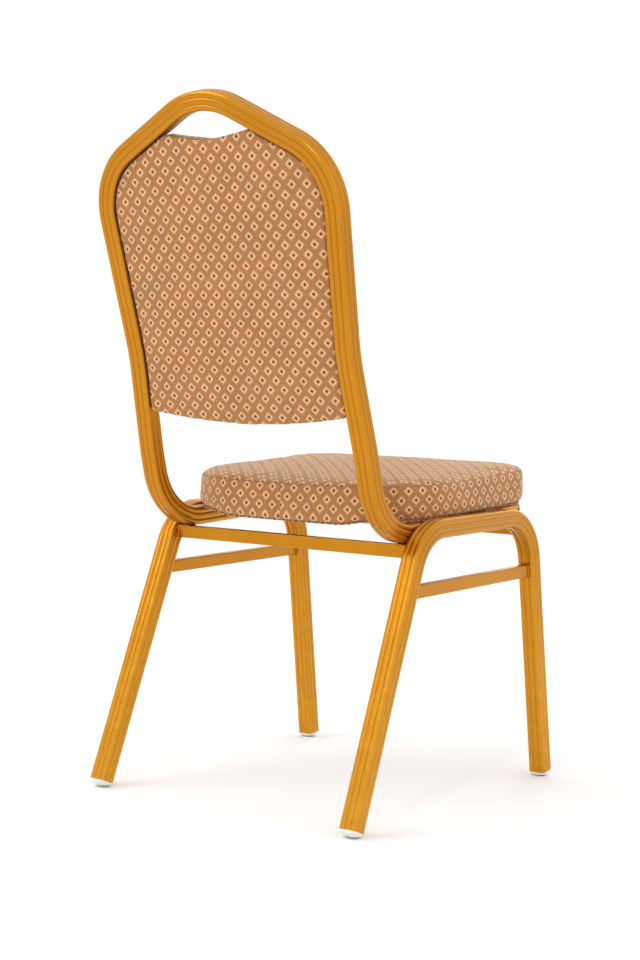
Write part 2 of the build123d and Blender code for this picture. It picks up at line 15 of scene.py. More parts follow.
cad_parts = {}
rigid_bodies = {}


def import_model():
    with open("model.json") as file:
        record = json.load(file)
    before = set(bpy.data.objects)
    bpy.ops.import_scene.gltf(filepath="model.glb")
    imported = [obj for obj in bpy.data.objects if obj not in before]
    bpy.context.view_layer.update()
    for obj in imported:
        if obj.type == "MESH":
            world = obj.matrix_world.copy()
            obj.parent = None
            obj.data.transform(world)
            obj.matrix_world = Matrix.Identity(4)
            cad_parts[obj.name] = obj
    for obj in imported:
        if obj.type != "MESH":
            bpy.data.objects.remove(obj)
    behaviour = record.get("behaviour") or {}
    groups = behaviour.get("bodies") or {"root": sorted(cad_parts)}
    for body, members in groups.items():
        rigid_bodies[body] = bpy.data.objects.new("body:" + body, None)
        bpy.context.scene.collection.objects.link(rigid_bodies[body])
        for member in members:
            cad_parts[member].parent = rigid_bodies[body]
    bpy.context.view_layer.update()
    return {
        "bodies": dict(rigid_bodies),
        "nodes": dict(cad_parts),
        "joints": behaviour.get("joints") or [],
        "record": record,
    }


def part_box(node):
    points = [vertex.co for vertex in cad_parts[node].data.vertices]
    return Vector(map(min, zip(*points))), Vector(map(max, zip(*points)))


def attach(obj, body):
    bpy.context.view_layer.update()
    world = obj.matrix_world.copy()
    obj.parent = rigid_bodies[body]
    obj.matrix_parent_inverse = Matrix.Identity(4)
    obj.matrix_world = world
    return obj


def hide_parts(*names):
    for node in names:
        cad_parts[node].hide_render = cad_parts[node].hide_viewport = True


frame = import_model()
MM = 0.001
ORIGIN_Y = 48.816 * MM      # the row's origin lies this far behind the seat datum

# ---- design sizes that the soft pieces and the swept tubes share with the CAD
TUBE = 25.4 * MM
TUBE_CORNER = 5.0 * MM
BORE = 21.8 * MM
GROOVE_DEPTH = 1.1 * MM
GROOVE_AT = 4.2 * MM
GROOVE_HALF = 2.6 * MM
LEG_SPLAY = radians(0.6)
FOOT_X = 207.3 * MM
LEG_BEND_R = 70 * MM
REAR_FOOT_Y = 258.3 * MM - ORIGIN_Y
REAR_CORNER = (112.1 * MM - ORIGIN_Y, 372.7 * MM)
FRONT_CORNER = (-168.9 * MM - ORIGIN_Y, 380.0 * MM)
FRONT_FOOT_Y = -230.0 * MM - ORIGIN_Y
GLIDE_R = 24.0 * MM
GLIDE_CAP = 7.5 * MM
GLIDE_FLAT_DEPTH = 0.3 * MM
RUN_X = 177.6 * MM
RUN_Y = 100.0 * MM - ORIGIN_Y
RUN_Z = 367.2 * MM
RUN_FRONT_Y = -170.0 * MM - ORIGIN_Y
SEAT_TILT = radians(3.5)
BACK_SLOPE = 0.28
BACK_Y = 197.5 * MM - ORIGIN_Y
BACK_Z = 450 * MM
LOWER_BEND_R = 89 * MM
JOIN_H = -15 * MM
LOOP_CORNERS = ((177.6 * MM, 12.0 * MM), (169.4 * MM, 146.4 * MM), (184.7 * MM, 387.5 * MM))
APEX_H = 486 * MM
LOOP_RADII = (380 * MM, 368 * MM, 92.4 * MM, 100.6 * MM, 92.4 * MM, 368 * MM, 380 * MM)
POCKET = 20 * MM            # depth of the pocket in each tube end, which a plug's stem fills
SEAT_LIFT = 1.2 * MM
BOARD_HALF = 188 * MM
BOARD_REAR = 32 * MM        # from the seat plane's origin, over RUN_Y
BOARD_FRONT = -300 * MM
BOARD_REAR_R = 105 * MM
BOARD_FRONT_R = 47 * MM
COVER_GROW = 15.2 * MM
COVER_TOP = 55.2 * MM
SEAT_EDGE_R = 9 * MM
HEM_WIDTH = 26 * MM
HEM_IN = 8 * MM             # the hem starts this far in from the cover's side
HEM_TOP = -0.15 * MM
HEM_UNDERSIDE = -1.0 * MM
HEM_GATHER = 0.15           # millimetres
DUST_HALF = 130.9 * MM
DUST_HALF_LONG = 158.0 * MM
DUST_MIDDLE = -134.0 * MM
DUST_CORNER_R = 20 * MM
DUST_STAPLE_PITCH = 36 * MM
DUST_STAPLE_IN = 5 * MM     # from the cloth's edge
DUST_SAG = 3.2 * MM
DUST_PULL = 0.5 * MM
DUST_DRIFT = 0.5 * MM
DUST_LEVEL = -1.75 * MM
DUST_THICK = 0.6 * MM
STAPLE_LEVEL = -2.1 * MM
STAPLE_HALF = 5.0           # millimetres, as are the two below
STAPLE_WIDE = 0.45
STAPLE_THICK = 0.3
SEAT_CROWN = 7 * MM         # the middle of the seat over its edges
CROWN_HALF = 200 * MM
CROWN_HALF_LONG = 180 * MM
EDGE_SINK = 3.5 * MM
SEAT_LOW_R = 9 * MM
SHY = 3.0 * MM              # an inflated pad starts this much smaller, and swells
SEAT_CAP = 4 * MM           # how far the inflated cloth may move
BACK_CAP = 6 * MM
PAD_VOXEL = 5 * MM
PANEL_VOXEL = 2.5 * MM
DROOP = 7 * MM              # the cover sags this much below the board, between the runs at the rear
DROOP_FROM = 26 * MM        # where the sag starts, behind the seat plane's origin
DROOP_REACH = 16 * MM
DROOP_SIDE = 45 * MM
DROOP_HEIGHT = 30 * MM      # the sag fades out this far up the seat's side
PANEL_GAP = 1.4 * MM
PANEL_BOTTOM_H = 56 * MM
PANEL_BOTTOM_R = 930 * MM
NOTCH_SLOPE = 12.0 / 68.0
NOTCH_H = 423 * MM
FRONT_PAD = (2.4 * MM, 38.7 * MM)
REAR_PAD = (-7.8 * MM, -1.9 * MM)
FRONT_PAD_EDGE_R = 14 * MM
PANEL_EDGE_R = 2.2 * MM
PANEL_DOME = 3.2 * MM       # over the panel's edge, reached this far in from it
PANEL_DOME_REACH = 55 * MM
PULL_X = 155 * MM           # lower corners that the rear cover is pulled towards
PULL_H = 68 * MM
PULL_REACH = 110 * MM
PULL_HEIGHT = 0.9 * MM
PANEL_DRIFT = 0.5 * MM
PANEL_PHASE = (3.9 * MM, 6.4 * MM)      # shift of the diamonds on the rear panel

# ---- weave: staggered rows of small diamonds
MOTIF_WIDE = 21.7 * MM
MOTIF_HIGH = 24.7 * MM
RING_WIDE = 6.5 * MM        # half the ring's width across the cloth
RING_HIGH = 6.2 * MM
YARN = 0.62 * MM

LEAN = atan(BACK_SLOPE)
UP_BACK = Vector((0, sin(LEAN), cos(LEAN)))
FRONTWARD = Vector((0, -cos(LEAN), sin(LEAN)))
BACK_ORIGIN = Vector((0, BACK_Y, BACK_Z))
SEAT_ORIGIN = Vector((0, RUN_Y, RUN_Z + TUBE / 2 / cos(SEAT_TILT) + SEAT_LIFT))
SEAT_BACKWARD = Vector((0, cos(SEAT_TILT), -sin(SEAT_TILT)))
SEAT_UP = Vector((0, sin(SEAT_TILT), cos(SEAT_TILT)))


# ---- Materials
class Nodes:
    """A small helper that builds one material's node tree."""

    def __init__(self, name):
        self.material = bpy.data.materials.new(name)
        self.material.use_nodes = True
        self.tree = self.material.node_tree
        self.shader = self.tree.nodes["Principled BSDF"]

    def add(self, kind, **settings):
        node = self.tree.nodes.new(kind)
        for key, value in settings.items():
            setattr(node, key, value)
        return node

    def link(self, source, target):
        self.tree.links.new(source, target)

    def set(self, **values):
        """Values that are the same all over go straight on the shader's sockets."""
        for key, value in values.items():
            self.shader.inputs[key.replace("_", " ")].default_value = value

    def math(self, operation, first, second=None):
        node = self.add("ShaderNodeMath", operation=operation)
        for socket, value in zip(node.inputs, (first, second)):
            if value is None:
                continue
            if isinstance(value, (int, float)):
                socket.default_value = value
            else:
                self.link(value, socket)
        return node.outputs[0]

    def times(self, first, second):
        return self.math("MULTIPLY", first, second)

    def plus(self, first, second):
        return self.math("ADD", first, second)

    def minus(self, first, second):
        return self.math("SUBTRACT", first, second)

    def drive(self, socket, source):
        """Link a value that varies over the surface to one of the shader's sockets."""
        self.link(source, self.shader.inputs[socket])

    def rise(self, fac, low, high):
        """From 0 at the low value to 1 at the high one."""
        return self.ramp(fac, ((low, (0, 0, 0)), (high, (1, 1, 1))))

    def fall(self, fac, low, high):
        """From 1 at the low value to 0 at the high one."""
        return self.ramp(fac, ((low, (1, 1, 1)), (high, (0, 0, 0))))

    def ramp(self, fac, stops):
        node = self.add("ShaderNodeValToRGB")
        elements = node.color_ramp.elements
        while len(elements) < len(stops):
            elements.new(0.5)
        for element, (place, colour) in zip(elements, stops):
            element.position = place
            element.color = (*colour, 1)
        self.link(fac, node.inputs[0])
        return node.outputs[0]

    def mix(self, fac, first, second, blend="MIX"):
        node = self.add("ShaderNodeMix", data_type="RGBA", blend_type=blend)
        for index, value in ((0, fac), (6, first), (7, second)):
            if isinstance(value, (int, float)):
                node.inputs[index].default_value = value
            elif isinstance(value, tuple):
                node.inputs[index].default_value = (*value, 1)
            else:
                self.link(value, node.inputs[index])
        return node.outputs[2]

    def noise(self, vector, scale, detail=2.0, roughness=0.5):
        node = self.add("ShaderNodeTexNoise")
        node.inputs["Scale"].default_value = scale
        node.inputs["Detail"].default_value = detail
        node.inputs["Roughness"].default_value = roughness
        self.link(vector, node.inputs["Vector"])
        return node.outputs["Fac"]

    def cells(self, vector, scale):
        node = self.add("ShaderNodeTexVoronoi")
        node.inputs["Scale"].default_value = scale
        self.link(vector, node.inputs["Vector"])
        return node.outputs["Distance"]

    def place(self):
        return self.add("ShaderNodeTexCoord").outputs["Object"]

    def bump(self, height, strength, distance):
        node = self.add("ShaderNodeBump")
        node.inputs["Strength"].default_value = strength
        node.inputs["Distance"].default_value = distance
        self.link(height, node.inputs["Height"])
        return node.outputs["Normal"]


def rgb(red, green, blue):
    """A display colour, 0 to 255, as the linear colour that shaders use."""
    def linear(c):
        return c / 255 / 12.92 if c < 10 else ((c / 255 + 0.055) / 1.055) ** 2.4

    return linear(red), linear(green), linear(blue)


def gold_paint(name, ribbed):
    """Semi-gloss gold paint: a little flake, faint clouding and slight orange peel; on ribbed tubes a patchy
    painted highlight on the raised ribs and painted shade in the grooves.
    """
    n = Nodes(name)
    place = n.place()
    cloud = n.noise(place, 9, 3)
    flake = n.noise(place, 2600, 1)
    base = n.ramp(cloud, ((0.3, rgb(188, 121, 3)), (0.7, rgb(200, 132, 6))))
    spark = n.ramp(flake, ((0.45, rgb(176, 108, 3)), (0.7, rgb(222, 154, 16))))
    patches = n.rise(n.noise(place, 60, 4, 0.7), 0.45, 0.75)
    colour = n.mix(0.35, base, spark)
    if ribbed:
        raised = n.add("ShaderNodeNewGeometry").outputs["Pointiness"]
        # Painted highlight: the raised rib edges are lightened towards a pale gold, in patches, standing in
        # for light caught on the ribs.
        edge = n.rise(raised, 0.50, 0.58)
        # Painted shade: the grooves between the ribs are darkened towards a deep brown, standing in for shade
        # in them.
        painted_groove_shade = n.fall(raised, 0.43, 0.50)
        painted_rib_highlight = n.times(edge, n.plus(n.times(patches, 0.22), 0.20))
        colour = n.mix(painted_rib_highlight, colour, rgb(244, 184, 56))
        colour = n.mix(n.times(painted_groove_shade, 0.6), colour, rgb(124, 64, 2))
    else:
        colour = n.mix(n.times(patches, 0.10), colour, rgb(226, 160, 50))
    n.drive("Base Color", colour)
    rough = n.plus(n.times(n.noise(place, 45, 3), 0.14), 0.23)
    n.drive("Roughness", rough)
    n.set(Metallic=0.82, Coat_Weight=0.18, Coat_Roughness=0.12, Specular_IOR_Level=0.3)
    peel = n.noise(place, 520, 2)
    n.drive("Normal", n.bump(peel, 0.12, 0.0004))
    return n.material


def woven_fabric():
    """Jacquard with staggered cream diamonds on tan, drawn in the cloth's own coordinates."""
    n = Nodes("diamond_jacquard")
    face = n.add("ShaderNodeAttribute", attribute_name="cloth").outputs["Vector"]
    strip = n.add("ShaderNodeAttribute", attribute_name="strip").outputs["Vector"]
    past_seam = n.add("ShaderNodeSeparateXYZ")
    n.link(face, past_seam.inputs[0])
    past_seam = past_seam.outputs["Z"]
    cloth = n.mix(n.math("GREATER_THAN", past_seam, 0.0), face, strip)
    split = n.add("ShaderNodeSeparateXYZ")
    n.link(cloth, split.inputs[0])
    across = n.math("SNAP", split.outputs["X"], YARN)
    along = n.math("SNAP", split.outputs["Y"], YARN * 0.8)
    a = n.math("DIVIDE", across, MOTIF_WIDE)
    b = n.math("DIVIDE", along, MOTIF_HIGH)
    rising = n.plus(a, b)
    falling = n.minus(a, b)
    off_rising = n.minus(rising, n.math("ROUND", rising))
    off_falling = n.minus(falling, n.math("ROUND", falling))
    wide = n.math("ABSOLUTE", n.plus(off_rising, off_falling))
    high = n.math("ABSOLUTE", n.minus(off_rising, off_falling))
    ring = n.plus(n.times(wide, MOTIF_WIDE / 2 / RING_WIDE),
                  n.times(high, MOTIF_HIGH / 2 / RING_HIGH))
    wobble = n.times(n.minus(n.noise(cloth, 700, 1), 0.5), 0.22)
    ring = n.plus(ring, wobble)
    band = n.math("MAXIMUM", n.math("ABSOLUTE", off_rising), n.math("ABSOLUTE", off_falling))
    crossing = n.math("MINIMUM", n.math("ABSOLUTE", off_rising), n.math("ABSOLUTE", off_falling))
    slow = n.noise(cloth, 14, 2)
    ground = n.ramp(slow, ((0.35, rgb(194, 137, 80)), (0.65, rgb(208, 146, 94))))
    band_place = n.times(band, 2)
    lattice = n.ramp(band_place, (
        (0.60, (0, 0, 0)), (0.76, (1, 1, 1)), (0.90, (1, 1, 1)), (0.97, (0.2, 0.2, 0.2))))
    ground = n.mix(n.times(lattice, 0.75), ground, rgb(176, 124, 74))
    line = n.rise(band_place, 0.93, 0.98)
    ground = n.mix(n.times(line, 0.5), ground, rgb(150, 92, 50))
    warm = n.rise(crossing, 0.30, 0.46)
    ground = n.mix(n.times(warm, 0.35), ground, rgb(208, 130, 72))
    ring_place = n.times(ring, 0.5)
    inside = n.ramp(ring_place, (
        (0.00, rgb(92, 56, 30)), (0.12, rgb(112, 70, 38)), (0.21, rgb(190, 136, 92)),
        (0.27, rgb(220, 166, 118)), (0.34, rgb(252, 208, 160)), (0.45, rgb(250, 204, 154)),
        (0.50, rgb(228, 176, 124))))
    on_motif = n.fall(ring_place, 0.46, 0.56)
    motif = n.mix(on_motif, ground, inside)
    cell = n.add("ShaderNodeCombineXYZ")
    n.link(n.math("ROUND", rising), cell.inputs[0])
    n.link(n.math("ROUND", falling), cell.inputs[1])
    shade = n.add("ShaderNodeTexWhiteNoise")
    n.link(cell.outputs[0], shade.inputs["Vector"])
    tint = n.ramp(shade.outputs["Value"], ((0.0, rgb(238, 240, 232)), (1.0, rgb(255, 246, 240))))
    motif = n.mix(1.0, motif, tint, "MULTIPLY")
    thread = n.noise(cloth, 2300, 2, 0.6)
    thread_tint = n.ramp(thread, ((0.3, rgb(222, 222, 222)), (0.7, rgb(255, 255, 255))))
    motif = n.mix(1.0, motif, thread_tint, "MULTIPLY")
    stitch = n.fall(n.times(n.math("ABSOLUTE", past_seam), 1000), 0.45, 0.95)
    motif = n.mix(n.times(stitch, 0.45), motif, rgb(112, 72, 42))
    n.drive("Base Color", motif)
    warp = n.math("SINE", n.times(split.outputs["X"], 2 * pi / YARN))
    weft = n.math("SINE", n.times(split.outputs["Y"], 2 * pi / YARN))
    raised = n.ramp(ring_place, (
        (0.24, (0.3,) * 3), (0.32, (1,) * 3), (0.46, (1,) * 3), (0.56, (0.2,) * 3)))
    height = n.plus(n.times(n.plus(warp, weft), 0.22), raised)
    height = n.minus(height, n.times(stitch, 2.0))
    n.drive("Normal", n.bump(height, 0.45, 0.0004))
    n.set(Roughness=0.82, Sheen_Weight=0.6, Sheen_Roughness=0.4, Specular_IOR_Level=0.25,
          Sheen_Tint=(1.0, 0.86, 0.70, 1))
    return n.material


def nylon():
    """Moulded white nylon of the glides, scuffed grey where it meets the floor."""
    n = Nodes("glide_nylon")
    place = n.place()
    height = n.add("ShaderNodeSeparateXYZ")
    n.link(place, height.inputs[0])
    low = n.fall(n.times(height.outputs["Z"], 100), 0.0, 0.5)
    dirt = n.times(low, n.noise(place, 300, 4, 0.7))
    n.drive("Base Color", n.mix(dirt, rgb(226, 226, 222), rgb(150, 146, 138)))
    n.drive("Roughness", n.plus(n.times(dirt, 0.3), 0.36))
    n.set(Subsurface_Weight=0.15, Subsurface_Scale=0.004)
    n.drive("Normal", n.bump(n.noise(place, 900, 2), 0.15, 0.0003))
    return n.material


def black_plastic():
    n = Nodes("plug_plastic")
    place = n.place()
    n.drive("Base Color", n.ramp(n.noise(place, 80, 3), ((0.3, rgb(24, 24, 25)), (0.7, rgb(38, 38, 39)))))
    n.set(Roughness=0.45)
    n.drive("Normal", n.bump(n.noise(place, 1500, 2), 0.2, 0.0002))
    return n.material


def board(name, light, dark, along):
    """Plywood or hardboard: long grain and knots of tone."""
    n = Nodes(name)
    stretch = n.add("ShaderNodeMapping")
    stretch.inputs["Scale"].default_value = along
    n.link(n.place(), stretch.inputs[0])
    grain = n.noise(stretch.outputs[0], 34, 8, 0.65)
    tone = n.noise(stretch.outputs[0], 5, 2)
    colour = n.ramp(grain, ((0.32, dark), (0.66, light)))
    colour = n.mix(n.times(tone, 0.35), colour, dark)
    n.drive("Base Color", colour)
    n.set(Roughness=0.74)
    n.drive("Normal", n.bump(grain, 0.3, 0.0004))
    return n.material


def zinc():
    n = Nodes("zinc_plate")
    place = n.place()
    n.drive("Base Color", n.ramp(n.noise(place, 500, 4), (
        (0.3, rgb(176, 176, 170)), (0.7, rgb(214, 212, 200)))))
    n.drive("Roughness", n.plus(n.times(n.noise(place, 900, 2), 0.2), 0.25))
    n.set(Metallic=1.0)
    return n.material


def dust_cloth():
    """Black non-woven cloth under the seat: short fibres pressed flat."""
    n = Nodes("dust_cloth")
    place = n.place()
    fibre = n.noise(place, 1400, 5, 0.75)
    dimple = n.cells(place, 700)
    n.drive("Base Color", n.ramp(fibre, ((0.3, rgb(20, 20, 21)), (0.75, rgb(52, 51, 50)))))
    n.set(Roughness=0.92, Sheen_Weight=0.2)
    n.drive("Normal", n.bump(n.plus(fibre, dimple), 0.5, 0.0004))
    return n.material


def foam():
    n = Nodes("open_foam")
    cells = n.cells(n.place(), 900)
    n.drive("Base Color", n.ramp(cells, ((0.1, rgb(176, 160, 112)), (0.6, rgb(236, 222, 172)))))
    n.set(Roughness=0.9)
    n.drive("Normal", n.bump(cells, 0.6, 0.0006))
    return n.material


GOLD = gold_paint("gold_paint_ribbed", True)
GOLD_PLAIN = gold_paint("gold_paint_plain", False)
FABRIC = woven_fabric()
ZINC = zinc()
BLACK = black_plastic()
FOAM = foam()
DUST = dust_cloth()
SLOT_MATERIALS = {
    "frame_paint": GOLD_PLAIN,
    "glide_nylon": nylon(),
    "plug_black": BLACK,
    "plywood": board("plywood", rgb(222, 190, 140), rgb(176, 134, 86), (1, 0.12, 1)),
    "hardboard": board("hardboard", rgb(134, 92, 56), rgb(96, 62, 36), (1, 1, 1)),
    "foam": FOAM,
    "fabric": FABRIC,
    "dust_cloth": DUST,
    "zinc": ZINC,
}


# ---- Axis lines of the bent tubes
def rounded_line(points, radii, arc_step):
    """Points and directions along straight runs joined by tangent arcs, in one plane."""
    places, ways = [], []

    def put(place, way):
        if not places or (place - places[-1]).length > 1e-6:
            places.append(place)
            ways.append(way)

    put(points[0], (points[1] - points[0]).normalized())
    for before, corner, after, radius in zip(points, points[1:], points[2:], radii):
        way_in = (corner - before).normalized()
        way_out = (after - corner).normalized()
        turn = way_in.angle(way_out)
        start = corner - way_in * radius * tan(turn / 2)
        toward = (way_out - way_in * way_in.dot(way_out)).normalized()
        centre = start + toward * radius
        steps = max(2, round(turn / arc_step))
        for step in range(steps + 1):
            angle = turn * step / steps
            put(centre - toward * radius * cos(angle) + way_in * radius * sin(angle),
                way_in * cos(angle) + toward * sin(angle))
    put(points[-1], (points[-1] - points[-2]).normalized())
    return places, ways


ARC_STEP = radians(2.0)


def run_height(y):
    return RUN_Z + (RUN_Y - y) * tan(SEAT_TILT)


def back_point(across, height, forward=0.0):
    """A point by its place in the back loop's leaning plane, and its distance forward of it."""
    return BACK_ORIGIN + Vector((across, 0, 0)) + UP_BACK * height + FRONTWARD * forward


def run_axis(side):
    """One run and its lower bend, from its front end up to the loop."""
    fall = tan(SEAT_TILT)
    corner_z = (RUN_Z + (RUN_Y - BACK_Y + BACK_SLOPE * BACK_Z) * fall) / (1 + BACK_SLOPE * fall)
    corner_y = BACK_Y + BACK_SLOPE * (corner_z - BACK_Z)
    points = [Vector((side * RUN_X, RUN_FRONT_Y, run_height(RUN_FRONT_Y))),
              Vector((side * RUN_X, corner_y, corner_z)),
              back_point(side * RUN_X, JOIN_H)]
    return rounded_line(points, [LOWER_BEND_R], ARC_STEP)


def loop_points():
    """Corners of the back loop in its plane, from its right foot over the crown to its left foot."""
    points = [(-RUN_X, JOIN_H)] + [(-w, h) for w, h in LOOP_CORNERS] + [(0, APEX_H)]
    return points + [(w, h) for w, h in reversed(LOOP_CORNERS)] + [(RUN_X, JOIN_H)]


def loop_axis():
    return rounded_line([back_point(*p) for p in loop_points()], LOOP_RADII, ARC_STEP)


def leg_point(side, y, height):
    """A point of a leg frame's plane, which leans outwards to the floor."""
    return Vector((side * (FOOT_X - height * sin(LEG_SPLAY)), y, height * cos(LEG_SPLAY)))


def leg_axis(side):
    """One leg frame, from the rear foot over the rail to the front foot."""
    ends = []
    for (corner_y, corner_z), foot_y in ((REAR_CORNER, REAR_FOOT_Y), (FRONT_CORNER, FRONT_FOOT_Y)):
        rake = atan(abs(foot_y - corner_y) / corner_z)
        height = GLIDE_R - GLIDE_FLAT_DEPTH - (GLIDE_R - GLIDE_CAP) * cos(rake)
        ends.append((foot_y + (corner_y - foot_y) * height / corner_z, height))
    points = [ends[0], REAR_CORNER, FRONT_CORNER, ends[1]]
    return rounded_line([leg_point(side, *p) for p in points], [LEG_BEND_R, LEG_BEND_R], ARC_STEP)


def tube_outline():
    """Outline of the ribbed tube, one turn, with finer points along its grooves and corners."""
    half = TUBE / 2
    flat = half - TUBE_CORNER
    face = [(-half + TUBE_CORNER) + (2 * half - 2 * TUBE_CORNER) * i / 26 for i in range(26)]
    outline = []
    for quarter in range(4):
        turn = Matrix.Rotation(quarter * pi / 2, 2)
        for along in face:
            dip = 0.0
            for centre in (-GROOVE_AT, GROOVE_AT):
                reach = abs(along - centre) / GROOVE_HALF
                if reach < 1:
                    dip = GROOVE_DEPTH * (0.5 + 0.5 * cos(pi * reach))
            outline.append(turn @ Vector((half - dip, along)))
        for step in range(8):
            angle = step / 8 * pi / 2
            corner = Vector((flat + TUBE_CORNER * cos(angle), flat + TUBE_CORNER * sin(angle)))
            outline.append(turn @ corner)
    return outline


OUTLINE = tube_outline()


def skin(rings, count, looped=False, start=0):
    """Quads between rings of points that follow one another, each ring of the same count."""
    faces = []
    for ring in range(rings if looped else rings - 1):
        near, far = start + ring * count, start + (ring + 1) % rings * count
        for i in range(count):
            j = (i + 1) % count
            faces.append((near + i, near + j, far + j, far + i))
    return faces


class Tube:
    """Axis frames of one bent tube: a place, and two directions across it, at every step."""

    def __init__(self, name):
        self.name = name
        self.frames = []

    def extend(self, axis, across=None, normal=None):
        """Add a planar stretch, which keeps either its across or its normal direction."""
        for place, way in zip(*axis):
            if across is not None:
                p, q = across, across.cross(way)
            else:
                p, q = way.cross(normal), normal
            if self.frames and (place - self.frames[-1][0]).length < 1e-5:
                continue
            self.frames.append((place, p.normalized(), q.normalized()))

    def mesh(self):
        """Closed skin with a blind pocket in each end, which the plug's stem fills."""
        count = len(OUTLINE)
        inner = BORE / TUBE
        first, last = self.frames[0], self.frames[-1]
        way_in = (self.frames[1][0] - first[0]).normalized()
        way_out = (last[0] - self.frames[-2][0]).normalized()
        rings = [(first[0] + way_in * POCKET, *first[1:], inner), (*first, inner)]
        rings += [(*frame, 1.0) for frame in self.frames]
        rings += [(*last, inner), (last[0] - way_out * POCKET, *last[1:], inner)]
        verts = [place + p * o.x * scale + q * o.y * scale for place, p, q, scale in rings for o in OUTLINE]
        faces = skin(len(rings), count)
        faces.append(tuple(range(count))[::-1])
        top = (len(rings) - 1) * count
        faces.append(tuple(range(top, top + count)))
        return verts, faces


def new_object(name, verts, faces, material=None, smooth=True):
    mesh = bpy.data.meshes.new(name)
    mesh.from_pydata([tuple(v) for v in verts], [], faces)
    mesh.validate()
    mesh.update()
    obj = bpy.data.objects.new(name, mesh)
    bpy.context.scene.collection.objects.link(obj)
    if material:
        mesh.materials.append(material)
    if smooth:
        mesh.shade_smooth()
    return obj


def outward(obj):
    """Point all faces outwards."""
    work = bmesh.new()
    work.from_mesh(obj.data)
    bmesh.ops.recalc_face_normals(work, faces=work.faces)
    work.to_mesh(obj.data)
    work.free()


def keep_edges(obj, degrees):
    obj.data.set_sharp_from_angle(angle=radians(degrees))


back_tube = Tube("back_tube")
back_tube.extend(run_axis(-1), across=Vector((1, 0, 0)))
back_tube.extend(loop_axis(), normal=FRONTWARD)
left_places, left_ways = run_axis(1)
back_tube.extend((left_places[::-1], [-w for w in left_ways[::-1]]), across=Vector((-1, 0, 0)))
TUBES = [back_tube]
for side_name, side in (("left", 1), ("right", -1)):
    leg = Tube(f"leg_tube_{side_name}")
    leg.extend(leg_axis(side), normal=Vector((cos(LEG_SPLAY), 0, side * sin(LEG_SPLAY))))
    TUBES.append(leg)

for tube, node in zip(TUBES, ("back_frame_tube", "leg_frame_left", "leg_frame_right")):
    piece = new_object(tube.name, *tube.mesh(), GOLD)
    outward(piece)
    keep_edges(piece, 50)
    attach(piece, "root")
    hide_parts(node)


# ---- weld beads, where bars meet tubes and where the runs lie against the rails
def bead(name, line, radius, seed, closed=True):
    """A lumpy bead of weld laid along a line."""
    count = len(line)
    verts = []
    sides = 10
    for index, place in enumerate(line):
        ahead = line[(index + 1) % count] if closed or index + 1 < count else place
        behind = line[index - 1] if closed or index else place
        way = (ahead - behind).normalized()
        across = way.orthogonal().normalized()
        other = way.cross(across)
        ripple = 1 + 0.16 * sin(index * 1.9 + seed) + 0.22 * noise.noise(place * 400 + Vector((seed, 0, 0)))
        if not closed:
            ripple *= sqrt(max(0.02, sin(pi * (index + 0.5) / count)))
        for side in range(sides):
            angle = 2 * pi * side / sides
            verts.append(place + (across * cos(angle) + other * sin(angle)) * radius * ripple)
    faces = skin(count, sides, looped=closed)
    if not closed:
        faces.append(tuple(range(sides))[::-1])
        faces.append(tuple(range((count - 1) * sides, count * sides)))
    piece = new_object(name, verts, faces, GOLD_PLAIN)
    outward(piece)
    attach(piece, "root")


def lay_along(corners, pace):
    """Points at an even pace along a closed line of straight stretches."""
    line = []
    for a, b in zip(corners, corners[1:] + corners[:1]):
        steps = max(2, round((b - a).length / pace))
        line += [a.lerp(b, step / steps) for step in range(steps)]
    return line


def bar_end(node, sign):
    """The four outer corners at one end of a straight bar, in order round it."""
    points = np.array([v.co[:] for v in frame["nodes"][node].data.vertices])
    middle = points.mean(0)
    long_way = np.linalg.svd(points - middle, full_matrices=False)[2][0]
    long_way *= np.sign(long_way[np.argmax(np.abs(long_way))]) * sign
    up = np.array((0, 0, 1.0)) - long_way * long_way[2]
    up /= np.linalg.norm(up)
    flat = np.cross(long_way, up)
    rel = points - middle
    corners = []
    for p, q in ((1, 1), (1, -1), (-1, -1), (-1, 1)):
        score = (rel @ up * p + rel @ flat * q) * 20 + rel @ long_way
        corners.append(Vector(points[np.argmax(score)] - long_way * 0.4 * MM))
    return corners


BARS = ("rear_crossbar", "front_crossbar", "side_stretcher_left", "side_stretcher_right")
for number, node in enumerate(BARS):
    for sign in (-1, 1):
        line = lay_along(bar_end(node, sign), 1.2 * MM)
        bead(f"weld_{node}_{'b' if sign > 0 else 'a'}", line, 1.25 * MM, number * 2 + sign)

WELD_X = (RUN_X + TUBE / 2 + FOOT_X - RUN_Z * sin(LEG_SPLAY) - TUBE / 2) / 2
for side_name, side in (("left", 1), ("right", -1)):
    for number, (start, end) in enumerate(((0.020, -0.012), (-0.120, -0.150))):
        line = [Vector((side * WELD_X, start + (end - start) * i / 24, 0)) for i in range(25)]
        for place in line:
            place.z = run_height(place.y) + TUBE / 2 - 1.2 * MM
        bead(f"weld_run_{side_name}_{number + 1}", line, 2.1 * MM, side + number, closed=False)
    for number, (bar, edge) in enumerate((("rear_crossbar", 0), ("rear_crossbar", 1), ("front_crossbar", 1))):
        low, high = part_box(bar)
        y = (high.y if edge else low.y) + (0.4 if edge else -0.4) * MM
        across = [side * (RUN_X + (i / 20 - 0.5) * (TUBE - 8 * MM)) for i in range(21)]
        line = [Vector((x, y, high.z - 0.3 * MM)) for x in across]
        bead(f"weld_under_{side_name}_{number + 1}", line, 1.7 * MM, 3 * side + number, closed=False)


# ---- Upholstery
def seat_world(u, v, w):
    """A point by its place in the seat's tilted plane and its height over the board's underside."""
    return SEAT_ORIGIN + Vector((u, 0, 0)) + SEAT_BACKWARD * v + SEAT_UP * w


def to_plane(points, origin, across, along, up):
    """Rows of (across, along, up) for rows of world points."""
    rel = points - np.array(origin)
    return np.stack([rel @ np.array(across), rel @ np.array(along), rel @ np.array(up)], 1)


def from_plane(rows, origin, across, along, up):
    return np.array(origin) + rows @ np.stack([np.array(across), np.array(along), np.array(up)])


